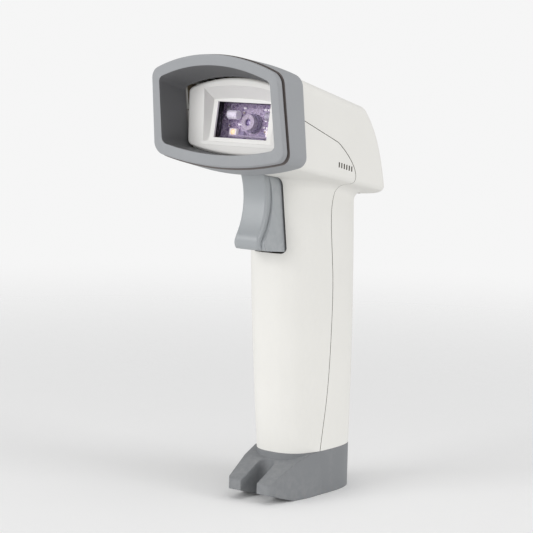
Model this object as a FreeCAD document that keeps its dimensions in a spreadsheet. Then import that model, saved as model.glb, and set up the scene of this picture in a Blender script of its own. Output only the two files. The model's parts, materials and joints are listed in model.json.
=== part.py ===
import FreeCAD, Part
import math
import os
import Sketcher

# Cordless handheld barcode scanner, millimetres, +Z up, scan window facing -Y.
# The origin is the middle of the handle on the flat underside of the foot.

V = FreeCAD.Vector
doc = FreeCAD.newDocument("HandheldScanner")
sheet = doc.addObject("Spreadsheet::Sheet", "Dimensions")

DIMENSIONS = [
    ("wall", 2.0, "thickness of the moulded shells"),
    ("seamwidth", 0.3, "gap between the two shells on the outside"),
    # head, in the upright YZ plane: heights are taken at the middle and at the side edge
    ("headfront", -52.0, "front end of the head shells"),
    ("headback", 30.0, "plane of the rear loft section, beyond the sloping back"),
    ("headfronthalf", 25.6, "half width of the head at its front end"),
    ("headbackhalf", 19.7, "half width of the head at the rear section"),
    ("frontedge", 158.3, "side edge height at the front end"),
    ("frontlowedge", 127.5, "lower side edge height at the front end"),
    ("backedge", 140.0, "side edge height at the rear section"),
    ("backlowedge", 113.2, "lower side edge height at the rear section"),
    ("crownradius", 86.0, "radius of the arched top"),
    ("bellyradius", 115.0, "radius of the arched underside"),
    ("tailround", 8.0, "radius of the rear corners"),
    ("crownround", 4.5, "radius along the top edges"),
    ("bellyround", 2.2, "radius along the lower edges"),
    # handle: superellipse sections from the foot up into the head
    ("gripbottom", 17.0, "height where the bare handle leaves the foot boot"),
    ("gripbottomhalf", 13.4, "half width of the handle there"),
    ("gripbottomdeep", 20.6, "half depth of the handle there"),
    ("griptophalf", 14.9, "half width of the handle under the head"),
    ("griptopdeep", 22.7, "half depth of the handle under the head"),
    ("griprake", 0.0575, "forward lean of the handle per millimetre of height"),
    ("gripcentre", 0.5, "Y of the handle's middle at gripbottom"),
    ("gripexponent", 2.6, "boxiness of the section, 2 is an ellipse"),
    ("neckdepth", 1.9, "how far the handle steps in under the foot boot"),
    ("neckround", 3.6, "fillet between the handle and the head"),
    # hood, in its own plane that leans over the window
    ("hoodtilt", 7.8, "lean of the hood's face in degrees"),
    ("hoodfacey", -60.0, "Y of the middle of the hood's face"),
    ("hoodfacez", 146.0, "Z of the middle of the hood's face"),
    ("hooddepth", 13.0, "face to rear edge"),
    ("hoodlip", 2.0, "length of the front ring"),
    ("hoodgroove", 1.0, "width of the groove behind the ring"),
    ("hoodgroovedepth", 0.7, "depth of that groove"),
    # scan engine axis, in the upright YZ plane
    ("axistilt", 10.0, "tilt of the scan axis in degrees"),
    ("nosefront", -46.5, "Y of the nose bezel's front"),
    ("windowhalf", 13.2, "half width of the window pane"),
    ("windowtall", 14.6, "height of the window pane"),
    ("windowthick", 1.2, "thickness of the window pane"),
    ("boardthick", 1.0, "thickness of the circuit boards"),
    # trigger
    ("pivoty", -25.0, "Y of the trigger pin"),
    ("pivotz", 126.4, "Z of the trigger pin"),
    ("pinradius", 1.25, "radius of the trigger pin"),
    ("bladehalf", 5.3, "half width of the finger blade"),
    ("cheekhalf", 7.0, "half width of the trigger behind the blade"),
    ("cheekflare", 0.05, "how much that half width shrinks per millimetre upwards"),
    ("cheeklow", 93.0, "height at which it is measured"),
    ("triggergap", 0.8, "gap round the trigger in its opening"),
    # battery and foot
    ("cellradius", 9.1, "radius of the battery cell"),
    ("celllength", 65.0, "length of the battery cell"),
    ("toehalf", 9.8, "half width of the toe's front edge"),
    ("toefront", -33.5, "Y of the toe's front edge"),
    ("toelow", 3.7, "height of the toe's underside at its front edge"),
    ("toehigh", 7.6, "height of the toe's top at its front edge"),
    ("toeheel", -20.9, "Y where the flat underside meets the raised toe"),
    ("slothalf", 3.7, "half width of the slot in the toe"),
    ("slotend", -20.4, "Y of the rounded end of that slot"),
    ("screwradius", 1.0, "shank radius of the small screws"),
]
for row, (alias, number, note) in enumerate(DIMENSIONS, start=1):
    sheet.set(f"A{row}", alias)
    sheet.set(f"B{row}", str(number))
    sheet.set(f"C{row}", note)
    sheet.setAlias(f"B{row}", alias)
doc.recompute()


def size(expression):
    """The number that an expression over the sheet's aliases has now."""
    return float(sheet.evalExpression(bound(expression)))


def bound(expression):
    """An expression over plain aliases, as FreeCAD wants it written."""
    text = str(expression)
    for name in sorted((entry[0] for entry in DIMENSIONS), key=len, reverse=True):
        pieces = text.split(name)
        joined = pieces[0]
        for piece in pieces[1:]:
            whole = not joined[-1:].isalnum() and not joined.endswith(".") and not piece[:1].isalnum()
            joined += ("Dimensions." + name if whole else name) + piece
        text = joined
    return text


# ---------------------------------------------------------------- building blocks


def link(item, **expressions):
    """Bind properties such as Length or Placement_Base_y to sheet expressions."""
    for name, expression in expressions.items():
        item.setExpression(name.replace("_", "."), bound(expression))
    return item


def place(item, x=0, y=0, z=0, tilt=0, back=False):
    """Put an object at a point, leaning its top forward by tilt degrees, or backwards."""
    way = V(-1, 0, 0) if back else V(1, 0, 0)
    item.Placement = FreeCAD.Placement(V(0, 0, 0), FreeCAD.Rotation(way, 1.0))
    item.setExpression("Placement.Rotation.Angle", bound(tilt))
    return link(item, Placement_Base_x=x, Placement_Base_y=y, Placement_Base_z=z)


def on_scan_axis(item):
    """Put an object, drawn with Y running back from the hood along the scan axis, where it belongs."""
    if item.isDerivedFrom("Part::Primitive"):
        label = item.Label
        item.Label = label + "_drawn"
        item = group(label + "_placed", item)
        item.Label = label
    return place(item, 0, "hoodfacey", "hoodfacez", "axistilt", back=True)


def box(name, x0, x1, y0, y1, z0, z1):
    item = doc.addObject("Part::Box", name)
    link(item, Length=f"({x1}) - ({x0})", Width=f"({y1}) - ({y0})", Height=f"({z1}) - ({z0})")
    return link(item, Placement_Base_x=x0, Placement_Base_y=y0, Placement_Base_z=z0)


def cylinder(name, radius, length, x=0, y=0, z=0, axis="Z"):
    """A cylinder that starts at the point given and runs along X, Y or Z."""
    item = doc.addObject("Part::Cylinder", name)
    link(item, Radius=radius, Height=length)
    turns = {"X": FreeCAD.Rotation(V(0, 1, 0), 90), "Y": FreeCAD.Rotation(V(1, 0, 0), -90)}
    item.Placement = FreeCAD.Placement(V(0, 0, 0), turns.get(axis, FreeCAD.Rotation()))
    return link(item, Placement_Base_x=x, Placement_Base_y=y, Placement_Base_z=z)


def fuse(name, *items):
    item = doc.addObject("Part::MultiFuse", name)
    item.Shapes = list(items)
    return item


def group(name, *items):
    """Like pieces that stay apart as separate solids of one node."""
    item = doc.addObject("Part::Compound", name)
    item.Links = list(items)
    return item


def cut(name, base, *tools):
    item = doc.addObject("Part::Cut", name)
    item.Base = base
    item.Tool = tools[0] if len(tools) == 1 else fuse(name + "_tools", *tools)
    return item


def common(name, *items):
    item = doc.addObject("Part::MultiCommon", name)
    item.Shapes = list(items)
    return item


def body(name):
    return doc.addObject("PartDesign::Body", name)


def outline(owner, name, role, corners, radii=None, offset=0):
    """A closed sketch through corners given as expressions; radii bulge an edge outwards, None is straight.

    A negative radius hollows the edge. Corners run counter-clockwise as the sketch sees them.
    """
    sketch = owner.newObject("Sketcher::SketchObject", name)
    base = [plane for plane in owner.Origin.OriginFeatures if plane.Role == role][0]
    sketch.AttachmentSupport = [(base, "")]
    sketch.MapMode = "FlatFace"
    sketch.setExpression("AttachmentOffset.Base.z", bound(offset))
    points = [V(size(x), size(y), 0) for x, y in corners]
    count = len(points)
    radii = radii or [None] * count
    for index, radius in enumerate(radii):
        start, end = points[index], points[(index + 1) % count]
        if radius is None:
            sketch.addGeometry(Part.LineSegment(start, end), False)
        else:
            sketch.addGeometry(bulge(start, end, size(radius)), False)
    for index, radius in enumerate(radii):
        turned = radius is not None and size(radius) < 0
        for axis, expression in zip(("DistanceX", "DistanceY"), corners[index]):
            amount = size(expression)
            which = 2 if turned else 1
            number = sketch.addConstraint(Sketcher.Constraint(axis, index, which, amount))
            sketch.setExpression(f"Constraints[{number}]", bound(expression))
        following = radii[(index + 1) % count]
        next_turned = following is not None and size(following) < 0
        sketch.addConstraint(Sketcher.Constraint(
            "Coincident", index, 1 if turned else 2, (index + 1) % count, 2 if next_turned else 1))
        if radius is not None:
            number = sketch.addConstraint(Sketcher.Constraint("Radius", index, abs(size(radius))))
            sketch.setExpression(f"Constraints[{number}]", bound(f"abs({radius})"))
    return sketch


def bulge(start, end, radius):
    """The arc of a radius from start to end that swells to the right of the way there."""
    chord = end - start
    side = V(chord.y, -chord.x, 0).normalize()
    middle = (start + end) / 2
    rise = math.sqrt(radius * radius - chord.Length ** 2 / 4)
    centre = middle - side * rise if radius > 0 else middle + side * rise
    circle = Part.Circle(centre, V(0, 0, 1), abs(radius))
    first, last = (start, end) if radius > 0 else (end, start)
    return Part.ArcOfCircle(circle, circle.parameter(first), circle.parameter(last))


def loft(owner, name, first, last):
    """A ruled loft between two sketches."""
    skin = owner.newObject("PartDesign::AdditiveLoft", name)
    skin.Profile = first
    skin.Sections = [last]
    skin.Ruled = True
    first.Visibility = False
    last.Visibility = False
    return skin


def pad(owner, name, sketch, half):
    """Pad a sketch to both sides, half its thickness each way."""
    block = owner.newObject("PartDesign::Pad", name)
    block.Profile = sketch
    block.Midplane = True
    link(block, Length=f"2 * ({half})")
    return block


def runs(edge):
    """The way an edge runs from end to end, as a unit vector."""
    way = edge.lastVertex().Point - edge.firstVertex().Point
    return way.normalize() if way.Length > 1e-6 else V(0, 0, 0)


def feature(name, shape):
    """A shape made with Part's own functions from sizes of the sheet."""
    item = doc.addObject("Part::Feature", name)
    item.Shape = shape
    return item


# ---------------------------------------------------------------- casing


def at_crown(edge):
    """The edge round the arched top, but not across its front end."""
    middle = edge.CenterOfMass
    return middle.z > 138 and middle.y > -50 and abs(runs(edge).z) < 0.7


def at_belly(edge):
    """The edge round the underside, but not across its front end."""
    middle = edge.CenterOfMass
    return middle.z < 124 and middle.y > -50 and abs(runs(edge).z) < 0.6


def rounded(name, item, radius, chosen):
    """A Part fillet of the chosen edges of an object."""
    doc.recompute()
    edges = [n for n, edge in enumerate(item.Shape.Edges, start=1) if chosen(edge)]
    fillet_item = doc.addObject("Part::Fillet", name)
    fillet_item.Base = item
    fillet_item.Edges = [(n, size(radius), size(radius)) for n in edges]
    return fillet_item


# height, and Y of the head's back at that height
BACK_LINE = [(104, 29.4), (119, 23.8), (134.4, 17.4), (143, 10.6), (149, 3.0), (154, -6.0), (168, -36.0)]


def plan_wire(height, back, inset):
    """The head seen from above at one height: straight tapering sides and two round rear corners."""
    front, half = size("headfront"), size("headfronthalf") - inset
    taper = (size("headfronthalf") - size("headbackhalf")) / (size("headback") - front)
    rear = back - inset
    radius = max(size("tailround") - inset, 1.0)
    lean = math.atan(taper)
    rear_half = half - taper * (rear - front)
    # the rear corner's arc touches the side and the back
    reach = radius * math.tan((math.pi / 2 - lean) / 2)
    side_end = V(rear_half + reach * math.sin(lean), rear - reach * math.cos(lean), height)
    back_end = V(rear_half - reach, rear, height)
    centre = V(rear_half - reach, rear - radius, height)
    middle = centre + V(math.sin(math.pi / 4 - lean / 2), math.cos(math.pi / 4 - lean / 2), 0) * radius

    def mirrored(point):
        return V(-point.x, point.y, point.z)

    edges = [
        Part.makeLine(V(-half, front, height), V(half, front, height)),
        Part.makeLine(V(half, front, height), side_end),
        Part.Arc(side_end, middle, back_end).toShape(),
        Part.makeLine(back_end, mirrored(back_end)),
        Part.Arc(mirrored(back_end), mirrored(middle), mirrored(side_end)).toShape(),
        Part.makeLine(mirrored(side_end), V(-half, front, height)),
    ]
    return Part.Wire(edges)


def head_form(name, inset, rounds):
    """The wedge-shaped head with its arched top and sloping back, shrunk all round by inset."""
    owner = body(name + "_arch")

    def section(label, plane, half, edge, lowedge):
        corners = [
            (f"{inset} - {half} - 4", f"{lowedge} + {inset} + 0.4"),
            (f"{half} + 4 - {inset}", f"{lowedge} + {inset} + 0.4"),
            (f"{half} + 4 - {inset}", f"{edge} - {inset} - 1"),
            (f"{inset} - {half} - 4", f"{edge} - {inset} - 1"),
        ]
        radii = ["bellyradius", None, "crownradius", None]
        return outline(owner, name + label, "XZ_Plane", corners, radii, offset=f"0 - ({plane})")

    front = section("_front", "headfront", "headfronthalf", "frontedge", "frontlowedge")
    rear = section("_rear", "headback", "headbackhalf", "backedge", "backlowedge")
    loft(owner, name + "_loft", front, rear)
    shrink = size(inset)
    plans = [plan_wire(height, back, shrink) for height, back in BACK_LINE]
    plan = feature(name + "_plan", Part.makeLoft(plans, True, False))
    wedge = common(name + "_wedge", owner, plan)
    crowned = rounded(name + "_crowned", wedge, rounds[0], at_crown)
    return rounded(name, crowned, rounds[1], at_belly)


def grip_wire(height, shrink):
    """One superellipse section of the handle at a height, shrunk by shrink."""
    low, high = size("gripbottom"), 90.0
    share = (height - low) / (high - low)
    swell = 0.5 * math.sin(math.pi * min(max(share, 0.0), 1.0))
    half = size("gripbottomhalf") + share * (size("griptophalf") - size("gripbottomhalf")) + swell * 0.3
    deep = size("gripbottomdeep") + share * (size("griptopdeep") - size("gripbottomdeep")) + swell
    if share > 1.0:
        half, deep = size("griptophalf"), size("griptopdeep")
    centre = size("gripcentre") - size("griprake") * (height - low)
    half, deep, power = half - shrink, deep - shrink, 2.0 / size("gripexponent")
    points = []
    steps = 48
    for step in range(steps):
        turn = 2 * math.pi * step / steps
        across = math.copysign(abs(math.cos(turn)) ** power, math.cos(turn))
        along = math.copysign(abs(math.sin(turn)) ** power, math.sin(turn))
        points.append(V(half * across, centre + deep * along, height))
    curve = Part.BSplineCurve()
    curve.interpolate(points, PeriodicFlag=True)
    return Part.Wire([curve.toShape()])


def grip_form(name, shrink, low, high):
    heights = [low + (high - low) * step / 4 for step in range(5)]
    return feature(name, Part.makeLoft([grip_wire(height, shrink) for height in heights], True))


# the seam in the upright YZ plane: straight along the head's side, then down through neck and handle
SEAM = [
    (-60.0, 148.9), (-16.4, 134.0), (-5.8, 126.2), (-2.8, 120.6), (-5.6, 115.0), (-7.2, 103.5),
    (-4.9, 84.0), (-4.1, 62.0), (-4.8, 37.0), (-6.8, 17.8), (-7.2, 1.0),
]


def seam_curve(shift):
    """The seam as one smooth edge, moved towards the rear by shift."""
    straight, corner, *down = [V(0, y + shift, z + shift * 0.5) for y, z in SEAM]
    curve = Part.BSplineCurve()
    curve.interpolate([corner, *down])
    return [Part.makeLine(straight, corner), curve.toShape()]


def seam_region(name, shift, far):
    """All that lies on one side of the seam, out to the upright plane at far."""
    edges = seam_curve(shift)
    start = edges[0].valueAt(edges[0].FirstParameter)
    end = edges[-1].valueAt(edges[-1].LastParameter)
    top = max(start.z, 175.0) if far > 0 else start.z
    corners = [end, V(0, end.y, -5), V(0, far, -5), V(0, far, top), V(0, start.y - 8, top)]
    if far < 0:
        corners = [end, V(0, end.y, -5), V(0, far, -5), V(0, far, start.z + 8)]
    corners.append(start)
    edges += [Part.makeLine(one, two) for one, two in zip(corners,
                                                          corners[1:]) if one.distanceToPoint(two) > 0.01]
    face = Part.Face(Part.Wire(Part.__sortEdges__(edges)))
    solid = face.extrude(V(100, 0, 0))
    solid.translate(V(-50, 0, 0))
    return feature(name, solid)


def hood_plane(depth, height, x):
    """A point in the plane that lies depth behind the hood's face, at a height along that plane."""
    lean = math.radians(size("hoodtilt"))
    return V(
        x,
        size("hoodfacey") + depth * math.cos(lean) - height * math.sin(lean),
        size("hoodfacez") + depth * math.sin(lean) + height * math.cos(lean),
    )


def casing_form(name, inset, neck):
    """Head and handle as one closed form."""
    rounds = (f"max(crownround - {inset}; 0.6)", f"max(bellyround - {inset}; 0.6)")
    head = head_form(name + "_head", inset, rounds)
    shrink = size(inset)
    bottom = 3.6 + shrink
    grip = grip_form(name + "_grip", shrink, bottom if shrink else size("gripbottom"), 127.0)
    joined = fuse(name + "_joined", head, grip)
    return rounded(name, joined, neck, at_neck) if neck else joined


def at_neck(edge):
    """The hollow edge where the handle meets the head's underside."""
    middle = edge.CenterOfMass
    return 104 < middle.z < 126 and abs(middle.x) < 18 and 60 < edge.Length < 140


def front_cutter(name):
    """What lies before the casing's front rim, which is parallel to the hood's face."""
    corners = [hood_plane(9.0, -60, -50), hood_plane(9.0, 60, -50), hood_plane(-60, 60, -50),
               hood_plane(-60, -60, -50)]
    face = Part.Face(Part.makePolygon(corners + corners[:1]))
    return feature(name, face.extrude(V(100, 0, 0)))


def ring_cutter(name, low, high):
    """The slab between two depths behind the hood's face."""
    corners = [hood_plane(low, -60, -50), hood_plane(low, 60, -50), hood_plane(high, 60, -50),
               hood_plane(high, -60, -50)]
    face = Part.Face(Part.makePolygon(corners + corners[:1]))
    return feature(name, face.extrude(V(100, 0, 0)))


# ---------------------------------------------------------------- shells


def vent_slots(name, side):
    """Six small upright slots that let the beeper be heard, through one side wall."""
    slots = []
    for number in range(6):
        y = -15.4 + 1.84 * number
        z = 124.9 - 0.38 * number
        x0, x1 = (18, 27) if side > 0 else (-27, -18)
        slots.append(box(f"{name}_{number}", x0, x1, y, y + 0.8, z, z + 1.9))
    return slots


def build_shells():
    """The two moulded shells, split along the seam, with their bosses and openings."""
    outer = casing_form("casing_outer", "0", "neckround")
    inner = casing_form("casing_inner", "wall", None)
    neck = grip_form("casing_neck", size("neckdepth"), 3.6, size("gripbottom") + 1)
    full = fuse("casing_full", outer, neck)
    hollow = grip_form("casing_neck_hollow", size("neckdepth") + 1.6, 5.4, size("gripbottom") + 3)
    rim = front_cutter("casing_rim")
    thin = common("rim_thinning", head_form("rim_inside", "0.85",
                                            ("crownround - 0.85", "bellyround - 0.85")),
                  ring_cutter("rim_reach", 0, 14.0))
    doc.recompute()
    shell = full.Shape
    for tool in (inner, hollow, rim, thin):
        shell = shell.cut(tool.Shape)
    front_side = seam_region("front_side", 0, -90)
    behind_seam = seam_region("behind_seam", size("seamwidth"), -90)
    build_front_housing(feature("front_shell", shell.common(front_side.Shape)))
    build_rear_housing(feature("rear_shell", shell.cut(behind_seam.Shape)), outer)


def flared(name, gap, low, high, front, rear):
    """An upright block that narrows upwards as the trigger does, with a gap all round it."""
    owner = body(name)
    low_half = f"cheekhalf + {gap} - cheekflare * ({low} - cheeklow)"
    high_half = f"cheekhalf + {gap} - cheekflare * ({high} - cheeklow)"
    corners = [(f"0 - ({low_half})", low), (low_half, low), (high_half, high), (f"0 - ({high_half})", high)]
    sketch = outline(owner, name + "_outline", "XZ_Plane", corners, offset=-(front + rear) / 2)
    pad(owner, name + "_pad", sketch, (rear - front) / 2)
    return owner


def build_front_housing(half):
    ears = [
        box("pin_ear_right", "cheekhalf + 1.2", "cheekhalf + 3.8", "pivoty - 3.4", "pivoty + 3.4", 121.4,
            "pivotz + 3.3"),
        box("pin_ear_left", "0 - cheekhalf - 3.8", "0 - cheekhalf - 1.2", "pivoty - 3.4", "pivoty + 3.4",
            121.4,
            "pivotz + 3.3"),
    ]
    foot_boss = cylinder("front_foot_boss", 2.7, 6, 0, -11, 5)
    solid = fuse("front_with_bosses", half, *ears, foot_boss)
    opening = flared("trigger_opening", "triggergap", 92.5, 126, -39.4, -18.5)
    opening = rounded("trigger_opening_round", opening, 2.2,
                      lambda e: e.CenterOfMass.z < 93 and abs(runs(e).y) > 0.9)
    tools = [
        opening,
        cylinder("pin_hole", "pinradius", 30, -15, "pivoty", "pivotz", "X"),
        cylinder("front_foot_screw_hole", "screwradius", 12, 0, -11, 1),
        *vent_slots("vent_right", 1),
        *vent_slots("vent_left", -1),
    ]
    cut("front_housing", solid, *tools)


def build_rear_housing(half, outer):
    posts = [cylinder(f"board_post_{x}_{s}", 2.3, 20, x, s, 2.2) for x in (-12.5, 12.5) for s in (42, 66)]
    posts = on_scan_axis(fuse("board_posts", *posts))
    posts = common("board_posts_trimmed", posts, head_form("post_limit", "1",
                                                           ("crownround - 1", "bellyround - 1")))
    screw_tower = cylinder("screw_tower", 3.0, 26, 0, -6.0, 98, "Y")
    tower = common("screw_tower_trimmed", screw_tower, outer)
    foot_boss = cylinder("rear_foot_boss", 2.7, 6, 0, 13, 5)
    solid = fuse("rear_with_bosses", half, posts, tower, foot_boss)
    pilots = [cylinder(f"post_pilot_{x}_{s}", "screwradius", 8, x, s, 1) for x in (-12.5,
                                                                                   12.5) for s in (42, 66)]
    tools = [
        on_scan_axis(fuse("post_pilots", *pilots)),
        cylinder("tower_bore", 1.3, 40, 0, -10, 98, "Y"),
        cylinder("tower_head_bore", 2.4, 12, 0, 12.5, 98, "Y"),
        cylinder("rear_foot_screw_hole", "screwradius", 12, 0, 13, 1),
        on_scan_axis(cylinder("status_hole", 2.3, 20, 0, 56, 5)),
        cylinder("contact_hole_right", 1.8, 6, 5.5, 3, 2),
        cylinder("contact_hole_left", 1.8, 6, -5.5, 3, 2),
    ]
    cut("rear_housing", solid, *tools)


# ---------------------------------------------------------------- hood and nose

# lower and upper half width, lower and upper side corner, radius of the arched top and of the arched
# bottom, each at the hood's face and at its rear edge
HOOD_OUTSIDE = [(29.3, 29.9), (28.3, 29.9), (-17.6, -21.4), (12.7, 9.6), (63.0, 80.0), (115.0, 91.0)]
HOOD_INSIDE = [(25.1, 23.3), (24.6, 23.3), (-13.7, -16.9), (9.8, 4.6), (62.0, 62.0), (103.0, 103.0)]


def barrel_wire(at, shape, corner):
    """An outline with arched top and bottom and round corners; at(x, up) puts its points in space."""
    low_half, high_half, low, high, crown, belly = shape
    crown_centre = high - math.sqrt(crown ** 2 - high_half ** 2)
    belly_centre = low + math.sqrt(belly ** 2 - low_half ** 2)
    high_in, low_in = high_half - corner, low_half - corner
    top = crown_centre + math.sqrt((crown - corner) ** 2 - high_in ** 2)
    bottom = belly_centre - math.sqrt((belly - corner) ** 2 - low_in ** 2)
    edges = [
        Part.makeLine(at(-high_in, top), at(-low_in, bottom)),
        Part.Arc(at(-low_in, bottom), at(0, belly_centre - belly + corner), at(low_in, bottom)).toShape(),
        Part.makeLine(at(low_in, bottom), at(high_in, top)),
        Part.Arc(at(high_in, top), at(0, crown_centre + crown - corner), at(-high_in, top)).toShape(),
    ]
    return Part.Wire(edges).makeOffset2D(corner)


def hood_wire(shape, depth, shrink, corner):
    """The hood's outline at a depth behind its face, shrunk all round by shrink."""
    share = depth / size("hooddepth")
    low_half, high_half, low, high, crown, belly = [face + (rear - face) * share for face, rear in shape]
    sizes = (low_half - shrink, high_half - shrink, low + shrink, high - shrink, crown - shrink,
             belly - shrink)
    return barrel_wire(lambda x, up: hood_plane(depth, up, x), sizes, corner)


def hood_loft(name, shape, near, far, shrink, corner):
    """One band of the hood between two depths."""
    wires = [hood_wire(shape, depth, shrink, corner) for depth in (near, far)]
    return feature(name, Part.makeLoft(wires, True, True))


def build_hood():
    """The soft rubber hood: a front ring, a groove, and a band that grips the casing's rim."""
    lip, deep, end = size("hoodlip"), size("hoodgroovedepth"), size("hooddepth")
    start = lip + size("hoodgroove")
    ring = hood_loft("hood_ring", HOOD_OUTSIDE, 0, lip, 0.35, 4.6)
    waist = hood_loft("hood_waist", HOOD_OUTSIDE, lip - 0.5, start + 0.5, 0.35 + deep, 4.2)
    band = hood_loft("hood_band", HOOD_OUTSIDE, start, end, 0, 4.6)
    ring = rounded("hood_ring_soft", ring, 0.6, lambda edge: on_hood_depth(edge, 0))
    band = rounded("hood_band_soft", band, 1.3, lambda edge: on_hood_depth(edge, end))
    mouth = hood_loft("hood_mouth", HOOD_INSIDE, -1, end + 2, 0, 2.4)
    reach = ring_cutter("hood_rim_reach", 8.8, 20)
    grown = head_form("rim_room_outer", "0 - 0.12", ("crownround", "bellyround"))
    kept = head_form("rim_room_inner", "0.97", ("crownround - 0.97", "bellyround - 0.97"))
    room = cut("rim_room", common("rim_room_reach", grown, reach), kept)
    hollow = cut("hood_hollow", fuse("hood_solid", ring, waist, band), mouth)
    doc.recompute()
    soft = hollow.Shape.cut(room.Shape)
    for shell in ("front_housing", "rear_housing"):
        soft = soft.cut(doc.getObject(shell).Shape)
    feature("hood", soft)


def on_hood_depth(edge, depth):
    """Whether all of an edge lies in the plane at a depth behind the hood's face."""
    lean = math.radians(size("hoodtilt"))
    normal = V(0, math.cos(lean), math.sin(lean))
    base = V(0, size("hoodfacey"), size("hoodfacez"))
    samples = [edge.valueAt(edge.FirstParameter), edge.valueAt(edge.LastParameter), edge.CenterOfMass]
    return all(abs((point - base).dot(normal) - depth) < 0.05 for point in samples)


def scan_point(x, back, up):
    """A point given across, back along the scan axis and up from it."""
    lean = math.radians(size("axistilt"))
    return V(
        x,
        size("hoodfacey") + back * math.cos(lean) + up * math.sin(lean),
        size("hoodfacez") - back * math.sin(lean) + up * math.cos(lean),
    )


def arched_wire(corners, crown):
    """Four corners and the crown's middle: three straight edges and an arched top one."""
    low_left, low_right, high_right, high_left = corners
    edges = [
        Part.makeLine(low_left, low_right),
        Part.makeLine(low_right, high_right),
        Part.Arc(high_right, crown, high_left).toShape(),
        Part.makeLine(high_left, low_left),
    ]
    return Part.Wire(edges)


def build_nose():
    """The white bezel inside the hood, with a tapering recess down to the window."""
    front = size("nosefront")

    def upright(y):
        return lambda x, up: V(x, y, up)

    plug_wire = barrel_wire(upright(front), (22.9, 22.9, 131.7, 151.9, 60, 90), 2.4)
    plug = feature("nose_plug_blank", Part.Face(plug_wire).extrude(V(0, 4, 0)))
    plug = rounded("nose_plug", plug, 1.0, lambda edge: abs(edge.CenterOfMass.y - front) < 0.05)
    flange_wire = barrel_wire(upright(-43.4), (22.4, 22.4, 128.6, 153.2, 86, 115), 2.4)
    flange = feature("nose_flange", Part.Face(flange_wire).extrude(V(0, 1.8, 0)))
    tunnel = on_scan_axis(box("nose_tunnel", -16.6, 16.6, 15.5, 20.6, -11.4, 7.0))
    mouth = arched_wire([V(-15.5, front - 0.01, 132.7), V(15.5, front - 0.01, 132.7),
                         V(15.5, front - 0.01, 152.2),
                         V(-15.5, front - 0.01, 152.2)], V(0, front - 0.01, 153.8))
    floor = arched_wire([scan_point(-13.7, 16.6, -9.9), scan_point(13.7, 16.6, -9.9),
                         scan_point(13.7, 16.6, 5.2),
                         scan_point(-13.7, 16.6, 5.2)], scan_point(0, 16.6, 6.0))
    recess = feature("nose_recess", Part.makeLoft([mouth, floor], True, True))
    opening = on_scan_axis(box("window_opening", -11.8, 11.8, 15, 22, -8.5, 4.6))
    seat = on_scan_axis(box("window_seat", "0 - windowhalf - 0.15", "windowhalf + 0.15", 17.4, 22,
                            "0 - 1.95 - windowtall / 2 - 0.15", "windowtall / 2 + 0.15 - 1.95"))
    behind = on_scan_axis(box("nose_inside", -15.2, 15.2, 19.6, 30, -10.0, 5.8))
    cut("nose_bezel", fuse("nose_solid", plug, flange, tunnel), recess, opening, seat, behind)


def build_window():
    """The clear pane and the foam frame that seals it."""
    low, high = "0 - 1.95 - windowtall / 2", "windowtall / 2 - 1.95"
    pane = box("pane_blank", "0 - windowhalf", "windowhalf", 17.5, "17.5 + windowthick", low, high)
    pane = rounded("window", pane, 0.8, lambda edge: abs(runs(edge).y) > 0.9)
    on_scan_axis(pane)
    frame = box("gasket_blank", "0 - windowhalf", "windowhalf", "17.5 + windowthick", 19.6, low, high)
    hole = box("gasket_hole", -11.9, 11.9, 18, 20, -8.6, 4.7)
    on_scan_axis(cut("window_gasket", frame, hole))


# ---------------------------------------------------------------- scan engine, drawn on the scan axis


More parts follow.
